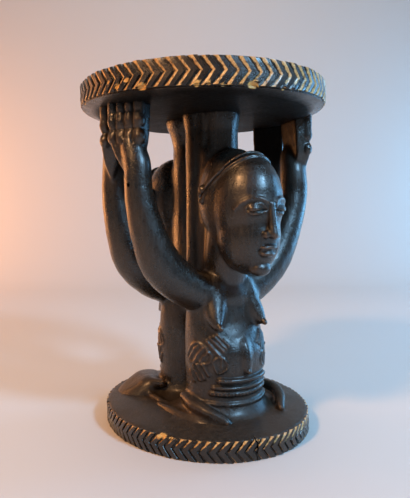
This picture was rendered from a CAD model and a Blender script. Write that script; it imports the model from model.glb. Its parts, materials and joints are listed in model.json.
# %% [markdown]
# # A stool carved from one block of wood
# Two kneeling women sit back to back on an oval base and carry an oval seat on their raised hands and on
# the long falls of their hair. The carver worked the whole stool from one log, so here too everything ends
# up as one closed skin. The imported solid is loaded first: it fixes every size, and the carving goes over it.

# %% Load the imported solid
import json
import math

import bmesh
import bpy
import numpy as np
from mathutils import Matrix, Vector
from mathutils.kdtree import KDTree

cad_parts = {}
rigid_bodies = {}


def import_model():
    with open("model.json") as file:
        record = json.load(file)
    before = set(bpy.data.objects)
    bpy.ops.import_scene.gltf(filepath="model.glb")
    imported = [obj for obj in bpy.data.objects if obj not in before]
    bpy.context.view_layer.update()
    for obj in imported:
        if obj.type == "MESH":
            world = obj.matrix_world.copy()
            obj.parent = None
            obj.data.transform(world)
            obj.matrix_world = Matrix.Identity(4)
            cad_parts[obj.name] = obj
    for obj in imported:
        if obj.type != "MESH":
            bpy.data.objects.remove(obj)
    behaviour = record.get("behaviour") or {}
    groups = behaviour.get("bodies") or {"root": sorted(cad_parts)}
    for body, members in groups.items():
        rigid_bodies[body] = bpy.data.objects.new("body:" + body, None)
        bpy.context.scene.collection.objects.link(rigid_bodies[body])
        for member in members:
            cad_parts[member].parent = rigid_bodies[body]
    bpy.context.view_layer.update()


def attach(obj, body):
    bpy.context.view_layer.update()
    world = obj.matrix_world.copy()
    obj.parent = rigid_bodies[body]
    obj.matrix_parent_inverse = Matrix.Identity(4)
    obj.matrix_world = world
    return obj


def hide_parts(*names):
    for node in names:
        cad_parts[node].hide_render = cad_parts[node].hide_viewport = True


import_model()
MM = 0.001

# %% [markdown]
# ## The camera
# The photograph was taken from the front left, a little above the middle of the stool and less than a metre
# away, so the nearer arms look larger. The position was found by matching the ovals of both rims.

# %% Camera
camera_data = bpy.data.cameras.new("camera")
camera_data.sensor_width = 36.0
camera_data.sensor_fit = "AUTO"
camera_data.lens = 38.02
camera = bpy.data.objects.new("camera", camera_data)
camera.location = (-0.36901, -0.56942, 0.26133)
camera.rotation_euler = tuple(math.radians(turn) for turn in (86.4475, 0.4861, -33.1471))
bpy.context.scene.collection.objects.link(camera)
bpy.context.scene.camera = camera
print("camera at", tuple(round(value, 3) for value in camera.location))

# %% [markdown]
# ## Sizes
# All sizes of the carving are kept in millimetres, as a carver would mark them on the block, and turned
# into metres once at the end. They are the same named sizes that the solid was built from.

# %% Sizes of the seat, the base and the two figures
HEIGHT = 420.0
SEAT_RADII = (150.0, 156.0)
SEAT_RIM = 30.0
BASE_RADII = (123.0, 145.0)
BASE_RIM = 24.0

ARM_CHAIN = (
    (20, -46, 166, 24.0),
    (54, -41, 181, 24.5),
    (82, -38, 206, 24.5),
    (97, -38, 239, 21.0),
    (106, -38, 269, 18.0),
    (110, -38, 294, 16.0),
    (110, -37, 318, 15.5),
    (113, -31, 341, 13.5),
)
ARM_MOVED = (195.0, 285.0)
HAND_WIDTH = 47.0
HAND_THICKNESS = 21.0
HAND_LEVELS = (330.0, 344.0, 349.0, 367.0, 392.0)
FINGERS = 4

# Name, turn, widening of the body, then for each side: how far the forearm is moved out and back and made
# thicker, the middle of the hand, and the turn of the hand.
FIGURES = (
    ("A", 0, (1.0, 1.0), {-1: ((0, 0, 0), (116, -27), -28), 1: ((11, 0, 2.5), (129, -38), -14)}),
    ("B", 180, (0.85, 0.82), {-1: ((26, 14, 2.5), (130, -22), -38), 1: ((-5, 0, 0), (115, -27), -28)}),
)

FACE = ((0, -96, 240), (35, 38, 46))
BROW = ((0, -92, 276), (40, 44, 58))
CAP = ((0, -67, 283), (42, 44, 58))
EAR = (41, -62, 286)

TORSO_RINGS = (
    (24, 64, 58, -45),
    (34, 55, 50, -45),
    (46, 49, 44.5, -45),
    (66, 48, 44, -45),
    (86, 50, 46, -46),
    (104, 50, 45, -46),
    (120, 50, 40, -44),
    (136, 50, 34, -43),
    (152, 49, 31, -43),
    (168, 46, 28, -43),
    (182, 38, 26, -44),
)
BELT_RINGS = ((76.0, 3.4, 42), (67.0, 2.7, 50), (60.0, 2.5, 54), (48.0, 2.6, 62))
BELT_DIP = 5.0
NIPPLE = (32, -82, 135)
NAVEL = (0, -90, 83)
THIGH = ((50, -30, 45, 6), (53, -58, 42, 7.5), (46, -80, 37.5, 7), (33, -96, 30, 5))
SHIN = ((33, -98, 28.5, 4.5), (50, -77, 28.5, 5), (60, -56, 28.5, 5), (66, -20, 28, 5), (66, 6, 26.5, 4))
KNEE_OUT = {-1: 0, 1: 14}
MOUND = ((0, -40, 20), (78, 68, 19))
B_KNEE = (((-44, 76, 33), (26, 28, 16)), ((-55, 50, 35), (16, 16, 15)), ((-46, 72, 24), (44, 42, 3)))
CHEST = ((0, -49, 166), (46, 26, 22))
BELLY = ((0, -55, 96), (34, 38, 32))
BREAST = ((19, -53, 178, 17), (24, -59, 160, 16), (29, -68, 146, 12))
LAP = ((18, 56, 84, 0), (29, 52, 78, 0))
TRUNK = ((0, -24, 150, 27), (0, -26, 240, 26), (0, -28, 335, 24))
POSTS = {
    "A": (
        ((4, -31, 330, 24), (4, -31, 366, 23.5), (4, -31, 388, 27)),
        ((-6, -21, 170, 20), (-6, -22, 366, 20), (-5, -22, 388, 24)),
        ((-15, -13, 170, 16.5), (-15, -14, 300, 16.5), (-15, -14, 366, 16.5), (-14, -14, 388, 21)),
    ),
    "B": (((0, -31, 335, 22), (0, -31, 356, 22), (0, -31, 372, 26), (0, -31, 388, 32)),),
}
print(len(FIGURES), "figures under a seat", 2 * SEAT_RADII[0], "by", 2 * SEAT_RADII[1], "mm")

# %% [markdown]
# ## Roughing out
# A carver first knocks out round masses: egg for the head, tubes for the arms, a barrel for the body. Here
# each mass is the convex skin round a few spheres. Laid over each other and wrapped in one even mesh, they
# melt together the way the masses do when the adze has gone over them.

# %% Helpers for the round masses
workshop = bpy.data.collections.new("workshop")
bpy.context.scene.collection.children.link(workshop)


def sphere_points(rows, columns):
    points = [Vector((0, 0, 1)), Vector((0, 0, -1))]
    for row in range(1, rows):
        polar = math.pi * row / rows
        for step in range(columns):
            turn = 2 * math.pi * step / columns
            flat = math.sin(polar)
            points.append(Vector((flat * math.cos(turn), flat * math.sin(turn), math.cos(polar))))
    return points


SMALL_SPHERE = sphere_points(6, 10)
LARGE_SPHERE = sphere_points(12, 22)


def ball_points(centre, radii):
    sphere = LARGE_SPHERE if max(radii) > 9 else SMALL_SPHERE
    return [Vector([c + r * p for c, r, p in zip(centre, radii, point)]) for point in sphere]


def hull(bm, points):
    """The convex form round these points."""
    verts = [bm.verts.new(point) for point in points]
    made = bmesh.ops.convex_hull(bm, input=verts)
    inside = [item for item in made["geom_interior"] if isinstance(item, bmesh.types.BMVert)]
    bmesh.ops.delete(bm, geom=inside, context="VERTS")


def ball(bm, centre, radii):
    hull(bm, ball_points(centre, radii))


def limb(bm, chain, side=1):
    """A tapering limb through spheres given as x, y, z and radius."""
    for first, second in zip(chain, chain[1:]):
        points = []
        for x, y, z, radius in (first, second):
            points += ball_points((side * x, y, z), (radius, radius, radius))
        hull(bm, points)


def rounded(chain, parts=3):
    """The chain with points added so that it bends in a smooth curve."""
    knots = [np.array(item, float) for item in chain]
    knots = [2 * knots[0] - knots[1]] + knots + [2 * knots[-1] - knots[-2]]
    out = []
    for p0, p1, p2, p3 in zip(knots, knots[1:], knots[2:], knots[3:]):
        for step in range(parts):
            t = step / parts
            out.append(
                0.5 * (2 * p1 + (p2 - p0) * t + (2 * p0 - 5 * p1 + 4 * p2 - p3) * t**2
                + (3 * p1 - p0 - 3 * p2 + p3) * t**3)
            )
    return [tuple(map(float, item)) for item in out] + [tuple(map(float, chain[-1]))]


def ellipse(level, half_x, half_y, middle_y, count=56):
    return [
        Vector((half_x * math.cos(turn), middle_y + half_y * math.sin(turn), level))
        for turn in (2 * math.pi * step / count for step in range(count))
    ]


print("spheres of", len(SMALL_SPHERE), "and", len(LARGE_SPHERE), "points")

# %% Torso, legs, arms and hands
def torso_at(level):
    """Half width, half depth and centre of the torso at a height."""
    table = np.array(TORSO_RINGS, float)
    return [float(np.interp(level, table[:, 0], table[:, column])) for column in (1, 2, 3)]


def torso_point(side, angle, level, out=0.0):
    """A point on the skin of the torso, with the angle counted from the front."""
    half_x, half_y, middle = torso_at(level)
    turn = math.radians(angle)
    return Vector(
        (side * (half_x + out) * math.sin(turn), middle - (half_y + out) * math.cos(turn), level)
    )


def add_torso(bm):
    for lower, upper in zip(TORSO_RINGS, TORSO_RINGS[1:]):
        hull(bm, ellipse(*lower) + ellipse(*upper))
    for centre, radii in (BELLY, CHEST, MOUND):
        ball(bm, centre, radii)
    x, y, z = NIPPLE
    for side in (-1, 1):
        limb(bm, rounded((*BREAST, (x, y + 4, z + 1, 6.5))), side)
    limb(bm, rounded(((0, -83, 110, 9), (0, -89, 97, 8), (0, NAVEL[1] - 1, NAVEL[2] + 1, 6))))


def add_legs(bm):
    """Thigh and shin of each leg, half sunk in the ground."""
    for side in (-1, 1):
        for chain in (THIGH, SHIN):
            moved = [(x + KNEE_OUT[side] * min(1.0, max(0.0, -y / 60)), y, z, r) for x, y, z, r in chain]
            limb(bm, rounded(moved), side)


def add_arm(bm, side, moved):
    """The raised arm, with the forearm moved out and back from the level of the elbow up."""
    low, high = ARM_MOVED
    chain = []
    for x, y, z, radius in ARM_CHAIN:
        share = min(1.0, max(0.0, (z - low) / (high - low)))
        chain.append((x + moved[0] * share, y + moved[1] * share, z, radius + moved[2] * share))
    limb(bm, rounded(chain), side)


def hand_point(side, place, turn, across, out, level):
    """A point of the hand, from how far it lies across the hand and out from its middle."""
    spun = Matrix.Rotation(side * math.radians(turn), 3, "Z") @ Vector((side * out, across, 0))
    return Vector((side * place[0], place[1], level)) + spun


def add_palm(bm, side, place, turn):
    wrist, heel, knuckle, bend, top = HAND_LEVELS
    half = HAND_WIDTH / 2 - 2
    deep = HAND_THICKNESS / 2
    points = []
    shape = (
        (wrist - 26, 0.15, -8, -8),
        (wrist - 4, 0.62, 0, 0),
        (heel, 0.95, 2, 2),
        (bend, 1.0, 3, 2),
        (top, 1.0, 6, 0),
    )
    for level, wide, inner, outer in shape:
        for across in (-half * wide, half * wide):
            for out in (-deep - inner, deep - 4 + outer):
                points.append(hand_point(side, place, turn, across, out, level))
    hull(bm, points)


def add_fingers(bm, side, place, turn):
    """Four fingers curled against the seat: two rows of round knuckles, then the tips."""
    wrist, heel, knuckle, bend, top = HAND_LEVELS
    deep = HAND_THICKNESS / 2
    radius = HAND_WIDTH / FINGERS / 2
    for index in range(FINGERS):
        across = (2 * index + 1 - FINGERS) * radius
        tip = [hand_point(side, place, turn, across, deep - 7.5, level) for level in (bend, top - 1)]
        limb(bm, [(*point, radius + 1) for point in tip])
        for level in (knuckle, bend):
            middle = hand_point(side, place, turn, across, deep - 7.2, level + 0.8 * (index % 2))
            ball(bm, middle, (radius + 1.5, radius + 1.5, 9))


print("torso rings", len(TORSO_RINGS), "and", FINGERS, "fingers to a hand")

# %% [markdown]
# ## Heads
# The head is an egg for the face, a high domed forehead and a cap of hair. The face is a plain, calm one
# set out by the drawing-book rule: eyes half-way down the head, then equal thirds from hairline to brow,
# brow to the foot of the nose, and nose to chin, with one eye's width between the eyes.

# %% Head, ears, hairline and face
CHIN_LEVEL = 196.0
CROWN_LEVEL = 341.0
HEAD_HEIGHT = CROWN_LEVEL - CHIN_LEVEL
EYE_LEVEL = CHIN_LEVEL + HEAD_HEIGHT / 2
THIRD = HEAD_HEIGHT * 0.29
NOSE_LEVEL = CHIN_LEVEL + THIRD
BROW_LEVEL = NOSE_LEVEL + THIRD
LIP_LEVEL = NOSE_LEVEL - THIRD / 3
EYE_WIDTH = 2 * BROW[1][0] / 5


def surface_from(origin, direction, out):
    """Where a ray from inside the head leaves its three egg forms."""
    best = 0.0
    for centre, radii in (FACE, BROW, CAP):
        start = Vector([(a - b) / r for a, b, r in zip(origin, centre, radii)])
        step = Vector([a / r for a, r in zip(direction, radii)])
        square = step.dot(step)
        half = start.dot(step)
        root = half * half - square * (start.dot(start) - 1)
        if root > 0:
            best = max(best, (-half + math.sqrt(root)) / square)
    return origin + direction * (best + out)


def face_point(x, z, out=0.0):
    """A point on the front of the head, straight ahead of x and z."""
    return surface_from(Vector((x, -70, z)), Vector((0, -1, 0)), out)


def hairline(out, steps=33, tilt=46):
    """Points from ear to ear over the top of the forehead."""
    points = []
    for step in range(steps):
        turn = math.radians(-12 + 204 * step / (steps - 1))
        along = Vector((math.cos(turn), 0, math.sin(turn)))
        along.rotate(Matrix.Rotation(math.radians(tilt), 3, "X"))
        points.append(surface_from(Vector((0, -68, 290)), along, out))
    return points


def add_head(bm):
    for centre, radii in (FACE, BROW, CAP):
        ball(bm, centre, radii)
    limb(bm, ((0, -62, 250, 30), (0, -50, 205, 27), (0, -44, 178, 26)))


def add_face(bm):
    bridge = face_point(0, BROW_LEVEL - 6, -1.5)
    tip = face_point(0, NOSE_LEVEL + 4, 4.5)
    limb(bm, ((*bridge, 4.0), (*tip.lerp(bridge, 0.3), 5.0), (*tip, 6.2)))
    for side in (-1, 1):
        wing = face_point(side * EYE_WIDTH * 0.42, NOSE_LEVEL + 3, 1.2)
        ball(bm, wing, (4.4, 5.0, 4.4))
        ball(bm, face_point(side * EYE_WIDTH, EYE_LEVEL, -4.5), (EYE_WIDTH * 0.62, 6.8, 6.4))
    ball(bm, face_point(0, LIP_LEVEL + 3.2, -3.2), (12.5, 7.2, 3.8))
    ball(bm, face_point(0, LIP_LEVEL - 4.0, -3.0), (10.8, 7.2, 4.2))
    ball(bm, (0, -115, 203), (13.5, 11, 9))


def add_ears(bm):
    for side in (-1, 1):
        x, y, z = EAR
        limb(bm, ((x, y, z + 6, 5.5), (x, y + 1, z - 6, 4.5)), side)


def add_band(bm):
    limb(bm, [(*point, 2.2) for point in hairline(0.6, tilt=42)])
    limb(bm, [(*point, 1.8) for point in hairline(0.2, tilt=50)])


print("eyes at", EYE_LEVEL, "nose at", round(NOSE_LEVEL), "lips at", round(LIP_LEVEL), "mm")

# %% Belt, navel and nipples
def belt_arc(level, reach, out, count=31):
    """An arc round the front of the hips that dips in the middle."""
    path = []
    for angle in np.linspace(-reach, reach, count):
        point = torso_point(1, angle, level, out)
        point.z -= BELT_DIP * math.cos(math.radians(angle))
        path.append(point)
    return path


def add_belt(bm):
    for level, radius, reach in BELT_RINGS:
        path = belt_arc(level, reach, radius * 0.3)
        ends = (path[0], path[-1])
        limb(bm, [(*point, radius * (0.6 if point in ends else 1.0)) for point in path])


def add_points(bm):
    x, y, z = NAVEL
    limb(bm, ((x, y, z, 5), (x, y - 5.5, z - 2, 3.4)))
    for side in (-1, 1):
        x, y, z = NIPPLE
        limb(bm, ((x, y, z, 4.2), (x, y - 3.5, z - 1.5, 3.0)), side)


def figure_parts(spec, fine):
    """One figure, as its large masses or as the finer forms that go on them."""
    name, turn, widen, sides = spec
    bm = bmesh.new()
    if fine:
        add_belt(bm)
        add_points(bm)
    else:
        add_torso(bm)
        add_legs(bm)
    bmesh.ops.scale(bm, vec=(*widen, 1), verts=bm.verts)
    if fine:
        add_band(bm)
        add_ears(bm)
        add_face(bm)
    else:
        add_head(bm)
        limb(bm, TRUNK)
        for post in POSTS[name]:
            limb(bm, post)
    for side, (moved, place, spin) in sides.items():
        if fine:
            add_fingers(bm, side, place, spin)
        else:
            add_arm(bm, side, moved)
            add_palm(bm, side, place, spin)
    bmesh.ops.rotate(bm, verts=bm.verts, cent=(0, 0, 0), matrix=Matrix.Rotation(math.radians(turn), 3, "Z"))
    return bm


def both_figures(fine):
    whole = bmesh.new()
    if not fine:
        hull(whole, ellipse(*LAP[0]) + ellipse(*LAP[1]))
        hull(whole, [point for centre, radii in B_KNEE for point in ball_points(centre, radii)])
    for spec in FIGURES:
        one = figure_parts(spec, fine)
        mesh = bpy.data.meshes.new("figure")
        one.to_mesh(mesh)
        one.free()
        whole.from_mesh(mesh)
        bpy.data.meshes.remove(mesh)
    return whole


print("belt rings at", [ring[0] for ring in BELT_RINGS], "mm")

# %% [markdown]
# ## One skin
# The voxel remesh wraps all masses in one even skin and the smoothing rounds the places where they meet,
# as rasps and years of hands do. The finer forms are laid on afterwards and wrapped with a finer mesh, so
# they stay crisp while the large masses stay soft.

# %% Wrap the masses, then the finer forms
FORM_VOXEL = 1.8
FORM_SMOOTHING = 14
SKIN_VOXEL = 1.1
SKIN_SMOOTHING = 2


def new_object(name, bm):
    mesh = bpy.data.meshes.new(name)
    bmesh.ops.recalc_face_normals(bm, faces=bm.faces)
    bm.to_mesh(mesh)
    bm.free()
    obj = bpy.data.objects.new(name, mesh)
    workshop.objects.link(obj)
    return obj


def finished(obj):
    """The object's mesh with its modifiers applied; the object itself goes."""
    graph = bpy.context.evaluated_depsgraph_get()
    mesh = bpy.data.meshes.new_from_object(obj.evaluated_get(graph))
    bpy.data.objects.remove(obj)
    return mesh


def wrap(name, bm, voxel, smoothing):
    obj = new_object(name, bm)
    remesh = obj.modifiers.new("even skin", "REMESH")
    remesh.mode = "VOXEL"
    remesh.voxel_size = voxel
    smooth = obj.modifiers.new("worn smooth", "SMOOTH")
    smooth.factor = 0.5
    smooth.iterations = smoothing
    return finished(obj)


masses = wrap("masses", both_figures(False), FORM_VOXEL, FORM_SMOOTHING)
carving = both_figures(True)
carving.from_mesh(masses)
skin = wrap("skin", carving, SKIN_VOXEL, SKIN_SMOOTHING)
print("skin of", len(skin.vertices), "points")

# %% [markdown]
# ## Knife work
# Lines too fine for the masses are cut into the skin itself. Every cut is a path along the surface: points
# near it are pushed in for a groove or out for a ridge, most on the line and less beside it. That is how a
# knife or a V-gouge follows a pencil line.

# %% The knife: grooves and ridges along a path
def coordinates(mesh):
    values = np.empty(len(mesh.vertices) * 3, np.float32)
    mesh.vertices.foreach_get("co", values)
    return values.reshape(-1, 3).astype(np.float64)


def normals_of(mesh):
    values = np.empty(len(mesh.vertices) * 3, np.float32)
    mesh.vertex_normals.foreach_get("vector", values)
    return values.reshape(-1, 3).astype(np.float64)


skin_co = coordinates(skin)
skin_normals = normals_of(skin)
push = np.zeros(len(skin_co))
lookup = KDTree(len(skin_co))
for index, point in enumerate(skin_co):
    lookup.insert(point, index)
lookup.balance()


def near_path(points, path, width):
    """Which points lie within the width of a path, and how near, from 0 at the edge to 1 on the path."""
    path = np.array([tuple(point) for point in path], float)
    low, high = path.min(axis=0) - width, path.max(axis=0) + width
    near = np.flatnonzero(((points > low) & (points < high)).all(axis=1))
    best = np.full(len(near), 1e9)
    for start, end in zip(path[:-1], path[1:]):
        along = end - start
        share = np.clip((points[near] - start) @ along / max(along @ along, 1e-9), 0, 1)
        best = np.minimum(best, np.linalg.norm(points[near] - start - share[:, None] * along, axis=1))
    inside = best < width
    return near[inside], 1 - best[inside] / width


def on_skin(path):
    return [lookup.find(Vector(tuple(point)))[0] for point in path]


def cut(path, width, depth, settle=True):
    """Raises the skin along the path, or lowers it where the depth is negative."""
    near, share = near_path(skin_co, on_skin(path) if settle else path, width)
    push[near] += depth * (3 * share**2 - 2 * share**3)


def smooth_path(points, parts=5):
    return [Vector(item[:3]) for item in rounded([(*point, 0.0) for point in points], parts)]


def placed(spec, point, body=False):
    """A point of a figure, moved to where that figure is."""
    x, y, z = point
    if body:
        x, y = x * spec[2][0], y * spec[2][1]
    return Matrix.Rotation(math.radians(spec[1]), 3, "Z") @ Vector((x, y, z))


print("knife ready on", len(skin_co), "points")

# %% [markdown]
# The scars on the flanks are the finest carving of the body: a fan of raised lines under the breast, a
# leaf with curved ribs behind it, a second fan on the hip and a lozenge by the navel. They are drawn as
# angle and height on the barrel of the body, so both flanks of both figures share one drawing.

# %% Scars on the flanks
FAN_UPPER = (
    ((54, 117), (39, 102)),
    ((48, 121), (33, 106)),
    ((42, 123), (29, 109)),
    ((36, 124), (24, 112)),
)
FAN_LOWER = (
    ((90, 80), (81, 69)),
    ((82, 87), (70, 71)),
    ((73, 90), (62, 73)),
    ((65, 91), (55, 77)),
)
LEAF_EDGE = ((50, 101), (58, 109), (70, 115), (85, 109), (96, 97), (90, 92), (67, 90), (54, 93), (50, 101))
LEAF_RIBS = (
    ((90, 95), (80, 105), (72, 111)),
    ((79, 93), (71, 102), (62, 109)),
    ((68, 93), (61, 101), (55, 105)),
)
LOZENGE = ((50, 94), (37, 100), (28, 89), (42, 81), (50, 94))
LOZENGE_RIB = ((36, 97), (37, 87))


def on_body(spec, side, pairs):
    """A line of the drawing, given as angles and heights, laid on the skin of the body."""
    line = smooth_path([(angle, level, 0) for angle, level in pairs], 4)
    return [placed(spec, torso_point(side, point.x, point.y), body=True) for point in line]


def scar_flanks():
    count = 0
    for spec in FIGURES:
        for side in (-1, 1):
            for line in FAN_UPPER + FAN_LOWER:
                cut(on_body(spec, side, line), 2.5, 1.8)
                count += 1
            for line in LEAF_RIBS:
                cut(on_body(spec, side, line), 2.9, 1.5)
                count += 1
            cut(on_body(spec, side, LEAF_EDGE), 2.4, 1.3)
            cut(on_body(spec, side, LOZENGE), 2.2, 1.4)
            cut(on_body(spec, side, LOZENGE_RIB), 2.0, 1.2)
            count += 3
    return count


print("scar lines cut:", scar_flanks())

# %% Beads of the cord, and the lines between fingers
BEADS = 22


def bead_cord():
    for spec in FIGURES:
        level, radius, reach = BELT_RINGS[2]
        for point in belt_arc(level, reach, radius * 1.1, BEADS):
            near, share = near_path(skin_co, [placed(spec, point, True)] * 2, 2.2)
            push[near] -= 1.4 * share


def part_fingers():
    wrist, heel, knuckle, bend, top = HAND_LEVELS
    deep = HAND_THICKNESS / 2
    radius = HAND_WIDTH / FINGERS / 2
    groove = ((deep - 3, heel - 2), (deep + 1, knuckle), (deep + 1, bend), (deep - 2, top - 4))
    for spec in FIGURES:
        for side, (_, place, turn) in spec[3].items():
            for index in range(FINGERS - 1):
                across = (2 * index + 2 - FINGERS) * radius
                line = [
                    placed(spec, hand_point(side, place, turn, across, out, level))
                    for out, level in groove
                ]
                cut(smooth_path(line), 2.0, -1.5)
            for level, deep_cut in (((knuckle + bend) / 2, -1.3), (bend + 10, -0.8)):
                line = [
                    placed(spec, hand_point(side, place, turn, step * HAND_WIDTH / 8, deep + 1, level))
                    for step in range(-4, 5)
                ]
                cut(line, 2.6, deep_cut)


bead_cord()
part_fingers()
print("beads on each cord:", BEADS)

# %% Hairline, ears and the lines of the face
BROW_LINE = ((5, -5), (12, -0.5), (21, 0), (30, -5), (34, -11))


def cut_heads():
    for spec in FIGURES:
        def on_face(x, z, out=0.0):
            return placed(spec, face_point(x, z, out))

        cut([placed(spec, point) for point in hairline(0.5)], 2.6, -2.6)
        for side in (-1, 1):
            x, y, z = EAR
            ear = [placed(spec, (side * (x + 5), y + 0.5 * step, z + step)) for step in (-5, 0, 5)]
            cut(ear, 3.0, -1.6)
            eye = []
            for step in range(25):
                turn = 2 * math.pi * step / 24
                wide = EYE_WIDTH * 0.66
                high = 6.0 * abs(math.sin(turn)) ** 1.3 * (1 if math.sin(turn) > 0 else -0.8)
                eye.append(on_face(side * (EYE_WIDTH + wide * math.cos(turn)), EYE_LEVEL + high))
            cut(eye, 2.2, 1.2)
            lid = [
                on_face(side * (EYE_WIDTH + step * EYE_WIDTH * 0.12), EYE_LEVEL - 1.6 + 0.04 * step * step)
                for step in range(-5, 6)
            ]
            cut(lid, 1.7, -1.5)
            brow = [on_face(side * x, BROW_LEVEL + above) for x, above in BROW_LINE]
            cut(smooth_path(brow), 4.2, 2.0)
            nostril = on_face(side * EYE_WIDTH * 0.3, NOSE_LEVEL - 1.5, 4)
            cut([nostril, nostril], 2.4, -1.6)
        mouth = [on_face(x, LIP_LEVEL - 0.5 - 0.004 * x * x, 3) for x in range(-13, 14, 2)]
        cut(mouth, 1.9, -1.9)
        lips = []
        for step in range(33):
            turn = 2 * math.pi * step / 32
            high = 7.4 if math.sin(turn) > 0 else 8.4
            lips.append(on_face(13.5 * math.cos(turn), LIP_LEVEL - 0.4 + high * math.sin(turn)))
        cut(lips, 2.0, -0.8)


cut_heads()
print("hairline bands run from ear to ear on", len(FIGURES), "heads")

# %% [markdown]
# The posts and the trunk keep the long facets of the adze, and the rest has softer, rounder tool marks.
# Both are shallow dishes round scattered points, stretched upwards on the posts where the blade ran with
# the grain.

# %% Tool marks
def scattered_dishes(points, cell, seed):
    """For each point, the distance to the nearest of one random centre per cell, in cells."""
    own = points / cell
    home = np.floor(own).astype(np.int64)
    nearest = np.full(len(points), 9.0)
    for dx in (-1, 0, 1):
        for dy in (-1, 0, 1):
            for dz in (-1, 0, 1):
                other = home + (dx, dy, dz)
                mixed = (other[:, 0] * 73856093) ^ (other[:, 1] * 19349663) ^ (other[:, 2] * 83492791) ^ seed
                gap = np.zeros(len(points))
                for axis in range(3):
                    mixed = (mixed * 1103515245 + 12345) & 0x7FFFFFFF
                    centre = other[:, axis] + 0.15 + 0.7 * (mixed % 65536) / 65536.0
                    gap += (own[:, axis] - centre) ** 2
                nearest = np.minimum(nearest, gap)
    return np.sqrt(nearest)


def tool_marks():
    radius = np.hypot(skin_co[:, 0], np.abs(skin_co[:, 1]) - 28)
    post = np.clip((36 - radius) / 8, 0, 1) * np.clip((skin_co[:, 2] - 185) / 20, 0, 1)
    head = np.zeros(len(skin_co))
    for spec in FIGURES:
        for centre, radii in (FACE, BROW, CAP):
            middle = np.array(placed(spec, centre))
            away = np.linalg.norm((skin_co - middle) / np.array(radii), axis=1)
            head = np.maximum(head, np.clip((1.25 - away) / 0.15, 0, 1))
    post = post * (1 - head)
    long_marks = scattered_dishes(skin_co, np.array([7.0, 7.0, 34.0]), 11)
    round_marks = scattered_dishes(skin_co, np.array([11.0, 11.0, 16.0]), 5)
    small_marks = scattered_dishes(skin_co, np.array([4.5, 4.5, 6.5]), 23)
    plain = (1 - head) * (1 - post)
    push[:] += post * (0.9 * long_marks**2 - 0.5)
    push[:] += plain * (0.55 * round_marks**2 + 0.18 * small_marks**2 - 0.3)
    push[:] += head * 0.10 * (round_marks**2 - 0.4)


tool_marks()
skin_co = skin_co + skin_normals * push[:, None]
skin.vertices.foreach_set("co", skin_co.astype(np.float32).ravel())
skin.update()
print("deepest cut", round(float(push.min()), 2), "highest ridge", round(float(push.max()), 2), "mm")

# %% [markdown]
# ## What the eye reads on old wood
# On a handled carving the high edges are rubbed and the hollows hold dust and dark polish. Both are read
# from the skin itself: a point that stands proud of the average of its neighbourhood is an edge, and one
# that lies below it is a hollow. The places where hands and knees rubbed through to bare wood are named.

# %% Measure edges, hollows and rubbed places on the full skin
def neighbour_average(values, ends, count):
    """For each point the mean of the values at the other ends of its edges."""
    total = np.zeros_like(values)
    for here, there in ((ends[:, 0], ends[:, 1]), (ends[:, 1], ends[:, 0])):
        for axis in range(values.shape[1]):
            total[:, axis] += np.bincount(here, values[there, axis], minlength=len(values))
    return total / count[:, None]


def proudness(points, normals, ends, rounds):
    """How far each point stands out from the neighbourhood, in millimetres."""
    count = np.bincount(ends.ravel(), minlength=len(points)).astype(float)
    soft = points
    for _ in range(rounds):
        soft = 0.4 * soft + 0.6 * neighbour_average(soft, ends, count)
    return ((points - soft) * normals).sum(axis=1)


def edges_of(mesh):
    values = np.empty(len(mesh.edges) * 2, np.int32)
    mesh.edges.foreach_get("vertices", values)
    return values.reshape(-1, 2)


def rubbed_spots():
    """Centre, radius and strength of each place worn down to bare wood."""
    spots = []
    for spec in FIGURES:
        for side in (-1, 1):
            x, y, z = NIPPLE
            spots.append((placed(spec, (side * x, y - 4, z - 2), True), 9.0, 1.3))
            place, turn = spec[3][side][1:]
            deep = HAND_THICKNESS / 2
            for index in range(FINGERS):
                across = (2 * index + 1 - FINGERS) * HAND_WIDTH / FINGERS / 2
                for level in (350, 368):
                    knuckle = hand_point(side, place, turn, across, deep + 3, level)
                    spots.append((placed(spec, knuckle), 4.5, 0.45))
            first = hand_point(side, place, turn, HAND_WIDTH / 2 - 3, deep, 352)
            spots.append((placed(spec, first), 5.0, 0.9))
            knee = (side * (36 + KNEE_OUT[side]), -100, 31)
            spots.append((placed(spec, knee, True), 8.0, 0.7 if side > 0 else 0.25))
            spots.append((placed(spec, (side * 34, -50, 208)), 30.0, 0.5))
            spots.append((placed(spec, (side * (EAR[0] + 4), EAR[1], EAR[2])), 7.0, 0.3))
        x, y, z = NAVEL
        spots.append((placed(spec, (x, y - 5, z - 2), True), 9.0, 1.1))
        spots.append((placed(spec, (-22, -88, 70), True), 9.0, 0.5))
    return spots


skin_ends = edges_of(skin)
skin_normals = normals_of(skin)
fine_proud = proudness(skin_co, skin_normals, skin_ends, 4)
broad_proud = proudness(skin_co, skin_normals, skin_ends, 40)
skin_edge = np.clip(fine_proud / 0.28, 0, 1) * 0.6 + np.clip(broad_proud / 1.4, 0, 1) * 0.4
skin_hollow = np.clip(-fine_proud / 0.30, 0, 1) * 0.5 + np.clip(-broad_proud / 1.6, 0, 1) * 0.5
skin_rubbed = np.zeros(len(skin_co))
for centre, reach, strong in rubbed_spots():
    near, share = near_path(skin_co, [centre, centre], reach * 1.4)
    skin_rubbed[near] = np.maximum(skin_rubbed[near], strong * np.clip(share * 1.8, 0, 1))
print("share of the skin that is edge", round(float((skin_edge > 0.5).mean()), 3))
print("share of the skin that is hollow", round(float((skin_hollow > 0.5).mean()), 3))

# %% [markdown]
# ## Rims of chevrons
# Both rims carry one band of chevrons, each a flat ridge with a sloping left side and a thin groove before
# the next. One ridge is shaped as a small mesh and Geometry Nodes sets it round the oval, each a little
# different in size and tilt, as a row cut by eye is. On the seat the points run to the right, on the base
# to the left.

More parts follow.
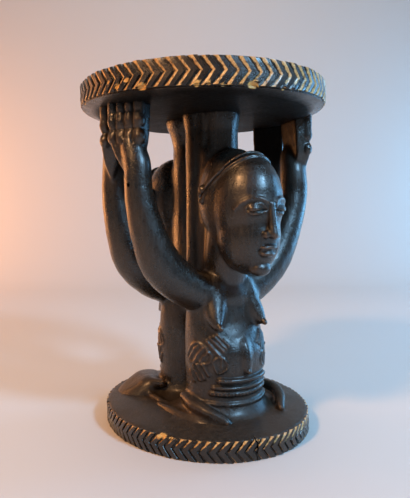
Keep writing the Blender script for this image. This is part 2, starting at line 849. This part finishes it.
# %% One ridge
def chevron_ridge(name, lean, rim, wide, depth, slopes):
    """One ridge: X runs along the rim, -Y stands out from it, slopes are widths of the worn side."""
    bm = bmesh.new()
    rubbed = bm.verts.layers.float.new("rubbed")
    sections = []
    shares = (0.0, 0.05, 0.28, 0.5, 0.72, 0.95, 1.0)
    for share in shares:
        slope = float(np.interp(share, (0.0, 0.5, 1.0), slopes))
        shift = lean * (1 - abs(2 * share - 1)) - lean / 2
        worn = 0.72 if share in (0.0, 1.0) else 1.0
        height = (share - 0.5) * rim
        profile = (
            (-wide / 2, -1.6, 0.0),
            (-wide / 2, 0.15 * depth, 0.25),
            (-wide / 2 + slope * 0.5, 0.62 * depth * worn, 1.0),
            (-wide / 2 + slope, depth * worn, 0.8),
            (-wide / 2 + slope + 0.8, depth * worn, 0.06),
            (wide / 2 - 0.6, depth * worn, 0.0),
            (wide / 2, (depth - 0.7) * worn, 0.1),
            (wide / 2, -1.6, 0.0),
        )
        row = []
        for along, out, worn_share in profile:
            vert = bm.verts.new((along + shift, -out, height))
            end = 0.35 if share in (0.0, 1.0) else 0.0
            vert[rubbed] = min(1.0, worn_share * min(1.0, slope / 2.4) + end * (out > 0))
            row.append(vert)
        sections.append(row)
    for lower, upper in zip(sections, sections[1:]):
        for index in range(len(lower)):
            after = (index + 1) % len(lower)
            bm.faces.new((lower[index], lower[after], upper[after], upper[index]))
    bm.faces.new(sections[0])
    bm.faces.new(sections[-1])
    return new_object(name, bm)


# %% Set ridges round an oval with Geometry Nodes
def add_node(tree, kind, inputs=(), **settings):
    """A node with its settings; each input is a value or another node's socket."""
    made = tree.nodes.new(kind)
    for key, value in settings.items():
        setattr(made, key, value)
    for socket, given in dict(inputs).items():
        if isinstance(given, bpy.types.NodeSocket):
            tree.links.new(given, made.inputs[socket])
        else:
            made.inputs[socket].default_value = given
    return made


def ridge_tree():
    """Inputs: one ridge, the oval's radii, how many ridges, their middle height and unevenness."""
    tree = bpy.data.node_groups.new("ridges round an oval", "GeometryNodeTree")
    face = tree.interface
    face.new_socket("Ridge", in_out="INPUT", socket_type="NodeSocketGeometry")
    for name, kind in (
        ("Radius X", "NodeSocketFloat"),
        ("Radius Y", "NodeSocketFloat"),
        ("Ridges", "NodeSocketInt"),
        ("Middle", "NodeSocketFloat"),
        ("Unevenness", "NodeSocketFloat"),
        ("Seed", "NodeSocketInt"),
        ("Material", "NodeSocketMaterial"),
    ):
        face.new_socket(name, in_out="INPUT", socket_type=kind)
    face.new_socket("Ridges", in_out="OUTPUT", socket_type="NodeSocketGeometry")

    def node(kind, inputs=(), **settings):
        return add_node(tree, kind, inputs, **settings)

    given = node("NodeGroupInput").outputs
    circle = node("GeometryNodeCurvePrimitiveCircle", {"Resolution": 256, "Radius": 1.0})
    size = node("ShaderNodeCombineXYZ", {"X": given["Radius X"], "Y": given["Radius Y"], "Z": 1.0})
    lift = node("ShaderNodeCombineXYZ", {"Z": given["Middle"]})
    oval = node(
        "GeometryNodeTransform",
        {"Geometry": circle.outputs["Curve"], "Scale": size.outputs[0], "Translation": lift.outputs[0]},
    )
    spots = node(
        "GeometryNodeCurveToPoints", {"Curve": oval.outputs[0], "Count": given["Ridges"]}, mode="COUNT"
    )
    facing = node(
        "FunctionNodeAlignRotationToVector", {"Vector": spots.outputs["Tangent"]}, axis="X", pivot_axis="Z"
    )
    less = node("ShaderNodeMath", {0: given["Unevenness"], 1: -1.0}, operation="MULTIPLY")
    tilt = node(
        "FunctionNodeRandomValue",
        {"Min": less.outputs[0], "Max": given["Unevenness"], "Seed": given["Seed"]},
        data_type="FLOAT_VECTOR",
    )
    tilted = node(
        "FunctionNodeRotateRotation",
        {"Rotation": facing.outputs[0], "Rotate By": tilt.outputs[0]},
        rotation_space="LOCAL",
    )
    smallest = node("ShaderNodeMath", {0: given["Unevenness"], 1: -1.6, 2: 1.0}, operation="MULTIPLY_ADD")
    other = node("ShaderNodeMath", {0: given["Seed"], 1: 7.0}, operation="ADD")
    size_each = node(
        "FunctionNodeRandomValue",
        {"Min": smallest.outputs[0], "Max": (1.0, 1.0, 1.0), "Seed": other.outputs[0]},
        data_type="FLOAT_VECTOR",
    )
    placed_ridges = node(
        "GeometryNodeInstanceOnPoints",
        {
            "Points": spots.outputs["Points"],
            "Instance": given["Ridge"],
            "Rotation": tilted.outputs[0],
            "Scale": size_each.outputs[0],
        },
    )
    real = node("GeometryNodeRealizeInstances", {"Geometry": placed_ridges.outputs[0]})
    painted = node("GeometryNodeSetMaterial", {"Geometry": real.outputs[0], "Material": given["Material"]})
    node("NodeGroupOutput", {"Ridges": painted.outputs[0]})
    return tree


def set_ridges(ridge, tree, values):
    """Runs the tree on one ridge and returns the whole ring of ridges as a plain mesh."""
    modifier = ridge.modifiers.new("ridges", "NODES")
    modifier.node_group = tree
    for item in tree.interface.items_tree:
        if item.in_out == "INPUT" and item.name in values:
            modifier[item.identifier] = values[item.name]
    return finished(ridge)


wood = bpy.data.materials.new("blackened_hardwood_carved_and_handled")
ridges_on_oval = ridge_tree()
RIDGE_DEPTH = 2.3
seat_ridges = set_ridges(
    chevron_ridge("seat_ridge", 12.0, SEAT_RIM - 0.8, 10.4, RIDGE_DEPTH, (5.0, 3.4, 5.2)),
    ridges_on_oval,
    {
        "Radius X": SEAT_RADII[0] - RIDGE_DEPTH,
        "Radius Y": SEAT_RADII[1] - RIDGE_DEPTH,
        "Ridges": 78,
        "Middle": HEIGHT - SEAT_RIM / 2,
        "Unevenness": 0.035,
        "Seed": 3,
        "Material": wood,
    },
)
base_ridges = set_ridges(
    chevron_ridge("base_ridge", -9.0, BASE_RIM - 0.6, 8.4, RIDGE_DEPTH, (1.6, 0.8, 3.8)),
    ridges_on_oval,
    {
        "Radius X": BASE_RADII[0] - RIDGE_DEPTH,
        "Radius Y": BASE_RADII[1] - RIDGE_DEPTH,
        "Ridges": 84,
        "Middle": BASE_RIM / 2,
        "Unevenness": 0.04,
        "Seed": 9,
        "Material": wood,
    },
)
print("ridge points: seat", len(seat_ridges.vertices), "base", len(base_ridges.vertices))

# %% [markdown]
# ## Seat and base discs
# Each disc is turned from a short profile round the oval. The seat is hollowed a little on top for the
# sitter, its underside swells, and one edge is thinner, as the axe left it. The base rises gently towards
# the legs.

# %% Discs
DISC_COLUMNS = 240
CORE = RIDGE_DEPTH
# Share of the oval's radii, inset from it, and level, from the middle of the underside round to the top.
SEAT_PROFILE = (
    (0.02, 0, 385.0), (0.14, 0, 385.0), (0.28, 0, 385.0), (0.42, 0, 385.2), (0.56, 0, 385.4),
    (0.68, 0, 385.6), (0.78, 0, 385.8), (0.86, 0, 386.2), (0.92, 0, 387.2), (0.965, 0, 388.2),
    (0.985, 0, 389.0), (1, CORE + 1.2, 389.8), (1, CORE, 391.2), (1, CORE, 398), (1, CORE, 405),
    (1, CORE, 412), (1, CORE, 418.4), (1, CORE + 0.7, 419.6), (1, CORE + 2.4, 420), (0.95, 0, 420),
    (0.90, 0, 419.8), (0.84, 0, 419.1), (0.76, 0, 418.3), (0.66, 0, 417.5), (0.52, 0, 417),
    (0.40, 0, 417), (0.28, 0, 417), (0.14, 0, 417), (0.02, 0, 417),
)
BASE_PROFILE = (
    (0.02, 0, 0), (0.3, 0, 0), (0.6, 0, 0), (0.85, 0, 0), (0.97, 0, 0), (1, CORE + 0.6, 0),
    (1, CORE, 0.8), (1, CORE, 8), (1, CORE, 16), (1, CORE, 22.4), (1, CORE + 0.9, 23.6),
    (0.965, 0, 24.1), (0.93, 0, 24.8), (0.86, 0, 26.0), (0.75, 0, 27.4), (0.62, 0, 27.8),
    (0.48, 0, 27.8), (0.34, 0, 27.8), (0.20, 0, 27.8), (0.02, 0, 27.8),
)


def oval_disc(name, radii, profile):
    bm = bmesh.new()
    rings = []
    for share, inset, level in profile:
        ring = []
        for step in range(DISC_COLUMNS):
            turn = 2 * math.pi * step / DISC_COLUMNS
            x = (radii[0] * share - inset) * math.cos(turn)
            y = (radii[1] * share - inset) * math.sin(turn)
            ring.append(bm.verts.new((x, y, level)))
        rings.append(ring)
    for lower, upper in zip(rings, rings[1:]):
        for step in range(DISC_COLUMNS):
            after = (step + 1) % DISC_COLUMNS
            bm.faces.new((lower[step], lower[after], upper[after], upper[step]))
    bm.faces.new(rings[0][::-1])
    bm.faces.new(rings[-1])
    return new_object(name, bm)


def slow_waves(points, length, seed):
    """A soft unevenness between -1 and 1 that changes over about this length."""
    rng = np.random.default_rng(seed)
    total = np.zeros(len(points))
    for _ in range(7):
        direction = rng.normal(size=3)
        direction /= np.linalg.norm(direction)
        pace = 2 * math.pi / (length * rng.uniform(0.7, 1.6))
        total += np.sin(points @ direction * pace + rng.uniform(0, 6.3))
    return total / 3.5


def thin_edge(points):
    """The seat's lower edge is cut higher on two sides."""
    turn = np.arctan2(points[:, 1] / SEAT_RADII[1], points[:, 0] / SEAT_RADII[0])
    share = np.hypot(points[:, 0] / SEAT_RADII[0], points[:, 1] / SEAT_RADII[1])
    near_rim = np.clip((share - 0.82) / 0.12, 0, 1)
    low = np.clip((406 - points[:, 2]) / 16, 0, 1)
    points[:, 2] += 5.0 * np.cos(turn - math.radians(147)) ** 2 * near_rim * low
    return points


def reshape(mesh, points):
    mesh.vertices.foreach_set("co", points.astype(np.float32).ravel())
    mesh.update()


def uneven(mesh, amount, keep_levels):
    """A hand-worked surface: soft waves, but none on the levels that something stands on."""
    points = coordinates(mesh)
    normals = normals_of(mesh)
    free = np.ones(len(points))
    for level in keep_levels:
        free *= np.clip(np.abs(points[:, 2] - level) / 0.4, 0, 1)
    wave = slow_waves(points, 46, 4) + 0.5 * slow_waves(points, 17, 8)
    points += normals * (amount * wave * free)[:, None]
    return points


seat = oval_disc("seat", SEAT_RADII, SEAT_PROFILE)
base = oval_disc("base", BASE_RADII, BASE_PROFILE)
reshape(seat.data, thin_edge(uneven(seat.data, 0.35, (HEIGHT, 417))))
reshape(base.data, uneven(base.data, 0.35, (0,)))
reshape(seat_ridges, thin_edge(coordinates(seat_ridges)))
print("disc faces", len(seat.data.polygons), len(base.data.polygons))

# %% [markdown]
# ## Joining and damage
# Booleans join ridges, discs and figures into one closed skin. Then the old damage is cut with rough
# lumps: chips along the seat's lower edge, a knocked patch and a drying crack in the base, and a small
# hole in one forearm. The breaks show paler wood.

# %% Joining
def as_object(name, mesh):
    obj = bpy.data.objects.new(name, mesh)
    workshop.objects.link(obj)
    return obj


def boolean(target, other, operation):
    """Joins the other object to the target, or cuts it away; the other object goes."""
    modifier = target.modifiers.new(operation, "BOOLEAN")
    modifier.operation = operation
    modifier.solver = "MANIFOLD"
    modifier.object = other
    name = target.name
    mesh = finished(target)
    bpy.data.objects.remove(other)
    return as_object(name, mesh)


def rough_lump(name, centre, size, seed, direction=(0, 0, 1)):
    """A broken-off bit: a small ball with a jagged skin."""
    bm = bmesh.new()
    bmesh.ops.create_icosphere(bm, subdivisions=3, radius=1.0)
    rng = np.random.default_rng(seed)
    for vert in bm.verts:
        jag = 1 + 0.16 * math.sin(5 * vert.co.x + 3 * vert.co.z + seed) + 0.10 * rng.uniform(-1, 1)
        vert.co = Vector([c * s * jag for c, s in zip(vert.co, size)])
    turn = Matrix.Rotation(math.atan2(direction[1], direction[0]), 3, "Z")
    bmesh.ops.rotate(bm, verts=bm.verts, cent=(0, 0, 0), matrix=turn)
    bmesh.ops.translate(bm, verts=bm.verts, vec=centre)
    return new_object(name, bm)


def rim_point(radii, angle, level, out=0.0):
    turn = math.radians(angle)
    return ((radii[0] + out) * math.cos(turn), (radii[1] + out) * math.sin(turn), level)


# Angle round the rim, level, and size across, along and up.
SEAT_CHIPS = (
    (-104, 391.5, (4.5, 7.0, 4.2)),
    (-116, 390.0, (2.5, 3.5, 2.0)),
    (-121.5, 390.6, (2.8, 3.0, 2.2)),
    (-126, 390.2, (2.6, 4.0, 2.4)),
    (-110, 390.0, (2.4, 2.6, 2.0)),
    (-90, 391.0, (2.8, 3.4, 3.0)),
    (-85, 391.2, (2.8, 2.6, 3.0)),
    (-79, 391.0, (2.4, 2.6, 2.6)),
    (-148, 392.0, (3.0, 6.0, 3.0)),
    (-155, 402.0, (1.6, 4.0, 3.4)),
    (-160, 397.0, (1.8, 4.6, 3.4)),
    (-165, 404.0, (1.5, 3.4, 3.4)),
    (40, 390.5, (3.4, 6.0, 3.0)),
    (112, 391.0, (3.2, 5.0, 3.0)),
    (20, 419.5, (3.0, 5.0, 2.2)),
    (170, 391.0, (3.0, 5.0, 3.0)),
)
BASE_CHIPS = (
    (-149, 23.6, (3.4, 6.5, 2.6)),
    (-144, 23.8, (2.8, 3.2, 2.0)),
    (-102, 23.6, (3.0, 2.4, 2.6)),
    (35, 23.4, (3.2, 6.0, 2.6)),
    (120, 1.0, (3.0, 6.0, 2.2)),
)

seat = boolean(seat, as_object("seat_ring", seat_ridges.copy()), "UNION")
base = boolean(base, as_object("base_ring", base_ridges.copy()), "UNION")
for number, (angle, level, size) in enumerate(SEAT_CHIPS):
    centre = rim_point(SEAT_RADII, angle, level, -0.5)
    seat = boolean(seat, rough_lump("chip", centre, size, number, centre), "DIFFERENCE")
for number, (angle, level, size) in enumerate(BASE_CHIPS):
    centre = rim_point(BASE_RADII, angle, level, -0.5)
    base = boolean(base, rough_lump("chip", centre, size, 40 + number, centre), "DIFFERENCE")
print("chips cut:", len(SEAT_CHIPS) + len(BASE_CHIPS), "seat faces", len(seat.data.polygons))

# %% Crack in the base and hole in the forearm
CRACK_ANGLE = -102.0
CRACK_STEPS = ((-1, 25.5, 1.5), (0, 20, 1.3), (0.8, 14, 1.2), (-0.4, 8, 0.9), (0.3, 2, 0.8), (0, -2, 0.6))
HOLE = ((-121, -42, 296), 2.3, 20)


def crack_cutter():
    """A thin jagged wedge, widest at the outside and the top."""
    bm = bmesh.new()
    turn = math.radians(CRACK_ANGLE)
    outward = Vector((math.cos(turn), math.sin(turn), 0))
    along = Vector((-math.sin(turn), math.cos(turn), 0))
    rim = Vector(rim_point(BASE_RADII, CRACK_ANGLE, 0))
    rows = []
    for shift, level, wide in CRACK_STEPS:
        middle = rim + along * shift + Vector((0, 0, level))
        rows.append([
            bm.verts.new(middle + outward * 4 + along * wide),
            bm.verts.new(middle + outward * 4 - along * wide),
            bm.verts.new(middle - outward * 10),
        ])
    for upper, lower in zip(rows, rows[1:]):
        for index in range(3):
            after = (index + 1) % 3
            bm.faces.new((upper[index], upper[after], lower[after], lower[index]))
    bm.faces.new(rows[0])
    bm.faces.new(rows[-1])
    return new_object("crack", bm)


def hole_cutter():
    """A short tapered pin lying across the forearm."""
    place, radius, angle = HOLE
    bm = bmesh.new()
    bmesh.ops.create_cone(bm, cap_ends=True, segments=14, radius1=radius, radius2=radius * 0.9, depth=14)
    for degrees, axis in ((90, "Y"), (angle, "Z")):
        turn = Matrix.Rotation(math.radians(degrees), 3, axis)
        bmesh.ops.rotate(bm, verts=bm.verts, cent=(0, 0, 0), matrix=turn)
    bmesh.ops.translate(bm, verts=bm.verts, vec=place)
    return new_object("hole", bm)


base = boolean(base, crack_cutter(), "DIFFERENCE")
print("crack at", CRACK_ANGLE, "degrees; base faces", len(base.data.polygons))

# %% Lighten the skin and join everything
FIGURE_TRIANGLES = 140000
people = as_object("people", skin)
fewer = people.modifiers.new("fewer faces", "DECIMATE")
fewer.ratio = FIGURE_TRIANGLES / sum(len(face.vertices) - 2 for face in skin.polygons)
people = as_object("people", finished(people))
people = boolean(people, hole_cutter(), "DIFFERENCE")
people = boolean(people, base, "UNION")
stool = boolean(people, seat, "UNION")
stool.name = "stool_carved"
print("stool faces", len(stool.data.polygons))

# %% Carry the wear over to the finished skin
# How much of the seat's rim is rubbed bare, by the angle round it: most at the front left.
RIM_WEAR = (
    (-180, 0.25), (-165, 0.25), (-152, 0.4), (-140, 0.75), (-124, 0.7), (-112, 0.35), (-100, 0.22),
    (-50, 0.2), (0, 0.4), (60, 0.3), (120, 0.5), (180, 0.25),
)


def source(points, rubbed, edge, hollow, fresh):
    return np.column_stack([points, rubbed, edge, hollow, fresh])


def ridge_source(mesh):
    rubbed = np.empty(len(mesh.vertices), np.float32)
    mesh.attributes["rubbed"].data.foreach_get("value", rubbed)
    none = np.zeros(len(rubbed))
    return source(coordinates(mesh), rubbed, none, none, none)


known = np.vstack([
    source(skin_co, skin_rubbed, skin_edge, skin_hollow, np.zeros(len(skin_co))),
    ridge_source(seat_ridges),
    ridge_source(base_ridges),
])
stool_co = coordinates(stool.data)
tree = KDTree(len(known))
for index, point in enumerate(known[:, :3]):
    tree.insert(point, index)
tree.balance()
wear = np.zeros((len(stool_co), 4))
for index, point in enumerate(stool_co):
    _, nearest, gap = tree.find(point)
    if gap < 1.5:
        wear[index] = known[nearest, 3:] * max(0.0, 1 - gap / 1.5)
for radii, chips in ((SEAT_RADII, SEAT_CHIPS), (BASE_RADII, BASE_CHIPS)):
    for angle, level, size in chips:
        middle = np.array(rim_point(radii, angle, level, -0.5))
        away = np.linalg.norm((stool_co - middle) / (np.max(size) * np.array((1.0, 1.0, 0.75))), axis=1)
        wear[:, 3] = np.maximum(wear[:, 3], np.clip((1.05 - away) * 4, 0, 1))
turn = np.degrees(np.arctan2(stool_co[:, 1] / SEAT_RADII[1], stool_co[:, 0] / SEAT_RADII[0]))
wear[:, 0] *= np.where(stool_co[:, 2] > 386, np.interp(turn, *zip(*RIM_WEAR)), 1)
stool_normals = normals_of(stool.data)
upward = stool_normals[:, 2]
outward = (stool_normals[:, :2] * stool_co[:, :2]).sum(axis=1)
outward /= np.maximum(np.hypot(stool_co[:, 0], stool_co[:, 1]), 1)
level = stool_co[:, 2]


def rising(values, start, length):
    """0 up to the start, then rising to 1 over the length; a negative length falls instead."""
    return np.clip((values - start) / length, 0, 1)


below_seat = rising(level, 390.5, -3)
sooty = below_seat * rising(level, 376, 6) * rising(-upward, 0.3, 0.4)
sheltered = below_seat * rising(level, 290, 60) * rising(-outward, 0.2, 0.5)
sooty = np.maximum(sooty, 0.85 * sheltered)
dusty = rising(level, 22, 2) * rising(level, 60, -25) * rising(upward, 0.2, 0.5)
layers = {"sooty": sooty, "dusty": dusty}
layers.update({name: wear[:, column] for column, name in enumerate(("rubbed", "edge", "hollow", "fresh"))})
for name, values in layers.items():
    layer = stool.data.attributes.new(name, "FLOAT", "POINT")
    layer.data.foreach_set("value", values.astype(np.float32))
print("points with wear", int((wear.max(axis=1) > 0.1).sum()), "of", len(wear))

# %% Finish the mesh
def open_edges(mesh):
    bm = bmesh.new()
    bm.from_mesh(mesh)
    count = sum(not edge.is_manifold for edge in bm.edges)
    bm.free()
    return count


stool.data.transform(Matrix.Scale(MM, 4))
stool.data.polygons.foreach_set("use_smooth", np.ones(len(stool.data.polygons), bool))
stool.data.set_sharp_from_angle(angle=math.radians(40))
stool.data.materials.clear()
stool.data.materials.append(wood)
for item in list(workshop.objects):
    if item != stool:
        bpy.data.objects.remove(item)
triangles = sum(len(face.vertices) - 2 for face in stool.data.polygons)
print("open edges", open_edges(stool.data), "triangles", triangles)

# %% [markdown]
# ## Blackened hardwood
# The wood is dense and was blackened with oil, palm soot and long handling. The black lies as a thin satin
# film: smooth places mirror the lamps softly, hollows keep dull brown dust, and edges and knees shine
# golden where the film is gone. Fresh breaks are paler and dull. The grain runs up the log, so every
# pattern is stretched along Z.

# %% Colours
def linear(code):
    """An sRGB hex colour as linear red, green, blue and alpha."""
    values = [int(code[start : start + 2], 16) / 255 for start in (1, 3, 5)]
    return (*[v / 12.92 if v <= 0.04045 else ((v + 0.055) / 1.055) ** 2.4 for v in values], 1.0)


BLACK_FILM = "#13110f"
BROWN_FILM = "#261b12"
DUST = "#4a4136"
THIN_FILM = "#6b4a2c"
BARE_WOOD = "#b9803f"
BARE_LIGHT = "#e8c88c"
FRESH_WOOD = "#d9a75c"
SOOT = "#080807"
CREVICE = "#120d09"
print("black film in linear light", [round(v, 4) for v in linear(BLACK_FILM)[:3]])

# %% The wood
def paint_wood(material):
    material.use_nodes = True
    tree = material.node_tree
    tree.nodes.clear()

    def node(kind, inputs=(), **settings):
        return add_node(tree, kind, inputs, **settings)

    def worn(name):
        return node("ShaderNodeAttribute", attribute_name=name).outputs["Fac"]

    def math_node(operation, first, second=0.0, third=0.0, clamp=False):
        made = node("ShaderNodeMath", {0: first, 1: second, 2: third}, operation=operation, use_clamp=clamp)
        return made.outputs[0]

    def mix(share, first, second):
        made = node("ShaderNodeMix", {0: share, 6: first, 7: second}, data_type="RGBA")
        return made.outputs[2]

    def noise(coordinates, millimetres, detail=3.0, rough=0.55):
        made = node(
            "ShaderNodeTexNoise",
            {"Vector": coordinates, "Scale": 1000.0 / millimetres, "Detail": detail, "Roughness": rough},
        )
        return made.outputs["Fac"]

    place = node("ShaderNodeTexCoord").outputs["Object"]
    along = node("ShaderNodeMapping", {"Vector": place, "Scale": (1.0, 1.0, 0.14)}).outputs[0]
    grain = noise(along, 2.2, 4.0, 0.6)
    patches = noise(place, 42.0, 3.0)
    mottle = noise(place, 5.0, 4.0, 0.65)
    speck = noise(place, 1.8, 3.0, 0.7)

    film = mix(math_node("MULTIPLY_ADD", patches, 3.6, -1.5, True), linear(BLACK_FILM), linear(BROWN_FILM))
    pores = math_node("MULTIPLY_ADD", grain, 2.6, -1.1, True)
    film = mix(math_node("MULTIPLY", pores, 0.3), film, linear(DUST))
    dusty = math_node("MULTIPLY_ADD", mottle, 1.4, -0.35, True)
    dusty = math_node("MULTIPLY", math_node("MULTIPLY", dusty, worn("dusty")), 0.75)
    film = mix(dusty, film, linear(DUST))
    edge = math_node("MULTIPLY_ADD", mottle, 1.5, -0.75)
    edge = math_node("ADD", edge, worn("edge"))
    edge = math_node("MULTIPLY_ADD", edge, 1.7, -0.9, True)
    film = mix(math_node("MULTIPLY", edge, 0.6), film, linear(THIN_FILM))
    bare = math_node("MULTIPLY_ADD", mottle, 1.9, -0.95)
    bare = math_node("ADD", bare, worn("rubbed"))
    bare = math_node("MULTIPLY_ADD", bare, 2.4, -1.15, True)
    bare = math_node("MULTIPLY", bare, math_node("GREATER_THAN", worn("rubbed"), 0.02))
    pale = math_node("MULTIPLY_ADD", speck, 3.0, -1.1, True)
    bare_colour = mix(pale, linear(BARE_WOOD), linear(BARE_LIGHT))
    film = mix(bare, film, bare_colour)
    fresh = math_node("MULTIPLY_ADD", worn("fresh"), 2.2, math_node("MULTIPLY_ADD", speck, 2.6, -2.2), True)
    film = mix(fresh, film, linear(FRESH_WOOD))
    film = mix(math_node("MULTIPLY", worn("sooty"), 0.9), film, linear(SOOT))
    film = mix(math_node("MULTIPLY", worn("hollow"), 0.6, clamp=True), film, linear(CREVICE))

    dull = math_node("ADD", worn("sooty"), math_node("MULTIPLY", worn("hollow"), 0.7), clamp=True)
    dull = math_node("MAXIMUM", dull, math_node("MULTIPLY", worn("dusty"), 0.55))
    worn_gloss = math_node("MULTIPLY_ADD", patches, 2.4, -0.9, True)
    rough = math_node("MULTIPLY_ADD", mottle, 0.42, 0.06)
    rough = math_node("MULTIPLY_ADD", worn_gloss, 0.14, rough)
    rough = math_node("MULTIPLY_ADD", dull, 0.35, rough)
    rough = math_node("MULTIPLY_ADD", fresh, 0.3, rough, True)
    shine = math_node("MULTIPLY_ADD", dull, -0.42, 0.5)

    height = math_node("MULTIPLY_ADD", grain, 0.55, math_node("MULTIPLY", speck, 0.6))
    height = math_node("MULTIPLY_ADD", mottle, 0.8, height)
    bump = node("ShaderNodeBump", {"Height": height, "Strength": 0.75, "Distance": 0.0008})
    shader = node(
        "ShaderNodeBsdfPrincipled",
        {
            "Base Color": film,
            "Roughness": rough,
            "IOR": 1.5,
            "Specular IOR Level": shine,
            "Coat Weight": math_node("MULTIPLY", shine, 0.7),
            "Coat Roughness": math_node("MULTIPLY_ADD", speck, 0.3, 0.1),
            "Normal": bump.outputs[0],
        },
    )
    node("ShaderNodeOutputMaterial", {"Surface": shader.outputs[0]})


paint_wood(wood)
print("wood nodes:", len(wood.node_tree.nodes))

# %% [markdown]
# ## Studio
# A pale sweep stands behind and under the stool. Two compact soft lamps stand high in front, warm on the left
# and cool on the right, and mirror as small bright patches in the film. Weaker side lights draw the outer
# edges, two glows tint the paper behind, and a wide soft light from above fills in.

# %% Floor, lights and world
camera_turn = Matrix.Rotation(camera.rotation_euler[2], 3, "Z")


def soft_light(name, place, target, size, watts, colour):
    data = bpy.data.lights.new(name, "AREA")
    data.shape = "RECTANGLE"
    data.size, data.size_y = size
    data.energy = watts
    data.color = linear(colour)[:3]
    obj = bpy.data.objects.new(name, data)
    obj.location = place
    obj.rotation_euler = (Vector(place) - Vector(target)).to_track_quat("Z", "Y").to_euler()
    bpy.context.scene.collection.objects.link(obj)
    return obj


def sweep():
    """A floor that curves up into a wall behind the stool, square to the camera."""
    bm = bmesh.new()
    rows = []
    for step in range(41):
        run = step / 40
        if run < 0.5:
            depth, rise = -2.0 + run * 2 * 3.2, 0.0
        else:
            turn = (run - 0.5) * math.pi
            depth, rise = 1.2 + 0.9 * math.sin(turn), 0.9 * (1 - math.cos(turn)) * 2.6
        rows.append([bm.verts.new((side * 3.5, depth, rise)) for side in (-1, 1)])
    for near, far in zip(rows, rows[1:]):
        bm.faces.new((near[0], near[1], far[1], far[0]))
    bmesh.ops.rotate(bm, verts=bm.verts, cent=(0, 0, 0), matrix=camera_turn)
    for face in bm.faces:
        face.smooth = True
    mesh = bpy.data.meshes.new("sweep")
    bm.to_mesh(mesh)
    bm.free()
    obj = bpy.data.objects.new("sweep", mesh)
    bpy.context.scene.collection.objects.link(obj)
    return obj


def at(x, y, z):
    """A place measured from the stool's foot: X to the camera's right, -Y towards the camera."""
    return camera_turn @ Vector((x, y, z))


paper = bpy.data.materials.new("pale_matt_paper")
paper.use_nodes = True
paper_shader = paper.node_tree.nodes["Principled BSDF"]
paper_shader.inputs["Base Color"].default_value = linear("#cfcdcb")
paper_shader.inputs["Roughness"].default_value = 0.9
floor = sweep()
floor.data.materials.append(paper)

soft_light("warm_lamp", at(-0.92, -1.02, 1.38), (0, 0, 0.25), (0.24, 0.24), 24, "#ffbd80")
soft_light("cool_lamp", at(1.03, -0.98, 1.20), (0, 0, 0.25), (0.28, 0.28), 26, "#9fd6ff")
soft_light("warm_side", at(-1.3, 0.5, 0.45), (0, 0, 0.2), (0.4, 0.9), 5, "#ffa055")
soft_light("cool_side", at(1.3, 0.5, 0.45), (0, 0, 0.2), (0.4, 0.9), 9, "#79c4ff")
soft_light("warm_glow", at(-1.7, 1.1, 0.35), at(-0.6, 2.0, 0.35), (0.5, 0.5), 19, "#ffa55c")
soft_light("cool_glow", at(1.7, 1.1, 0.35), at(0.6, 2.0, 0.35), (0.5, 0.5), 17, "#74c8ff")
soft_light("top_fill", at(0.1, 0.6, 2.3), (0, 0.3, 0.0), (1.6, 1.6), 14, "#fffaf2")
world = bpy.data.worlds.new("room")
bpy.context.scene.world = world
world.use_nodes = True
world.node_tree.nodes["Background"].inputs["Color"].default_value = linear("#e4e6ea")
world.node_tree.nodes["Background"].inputs["Strength"].default_value = 0.2
bpy.context.scene.view_settings.view_transform = "Standard"

# %% [markdown]
# ## Hand over
# The carved skin takes the place of the plain solid and moves with the one body of the part. The sizes of
# both are written down so that they can be compared.

# %% Hand over the piece
bpy.context.scene.collection.objects.link(stool)
bpy.data.collections.remove(workshop)
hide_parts("stool")
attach(stool, "root")
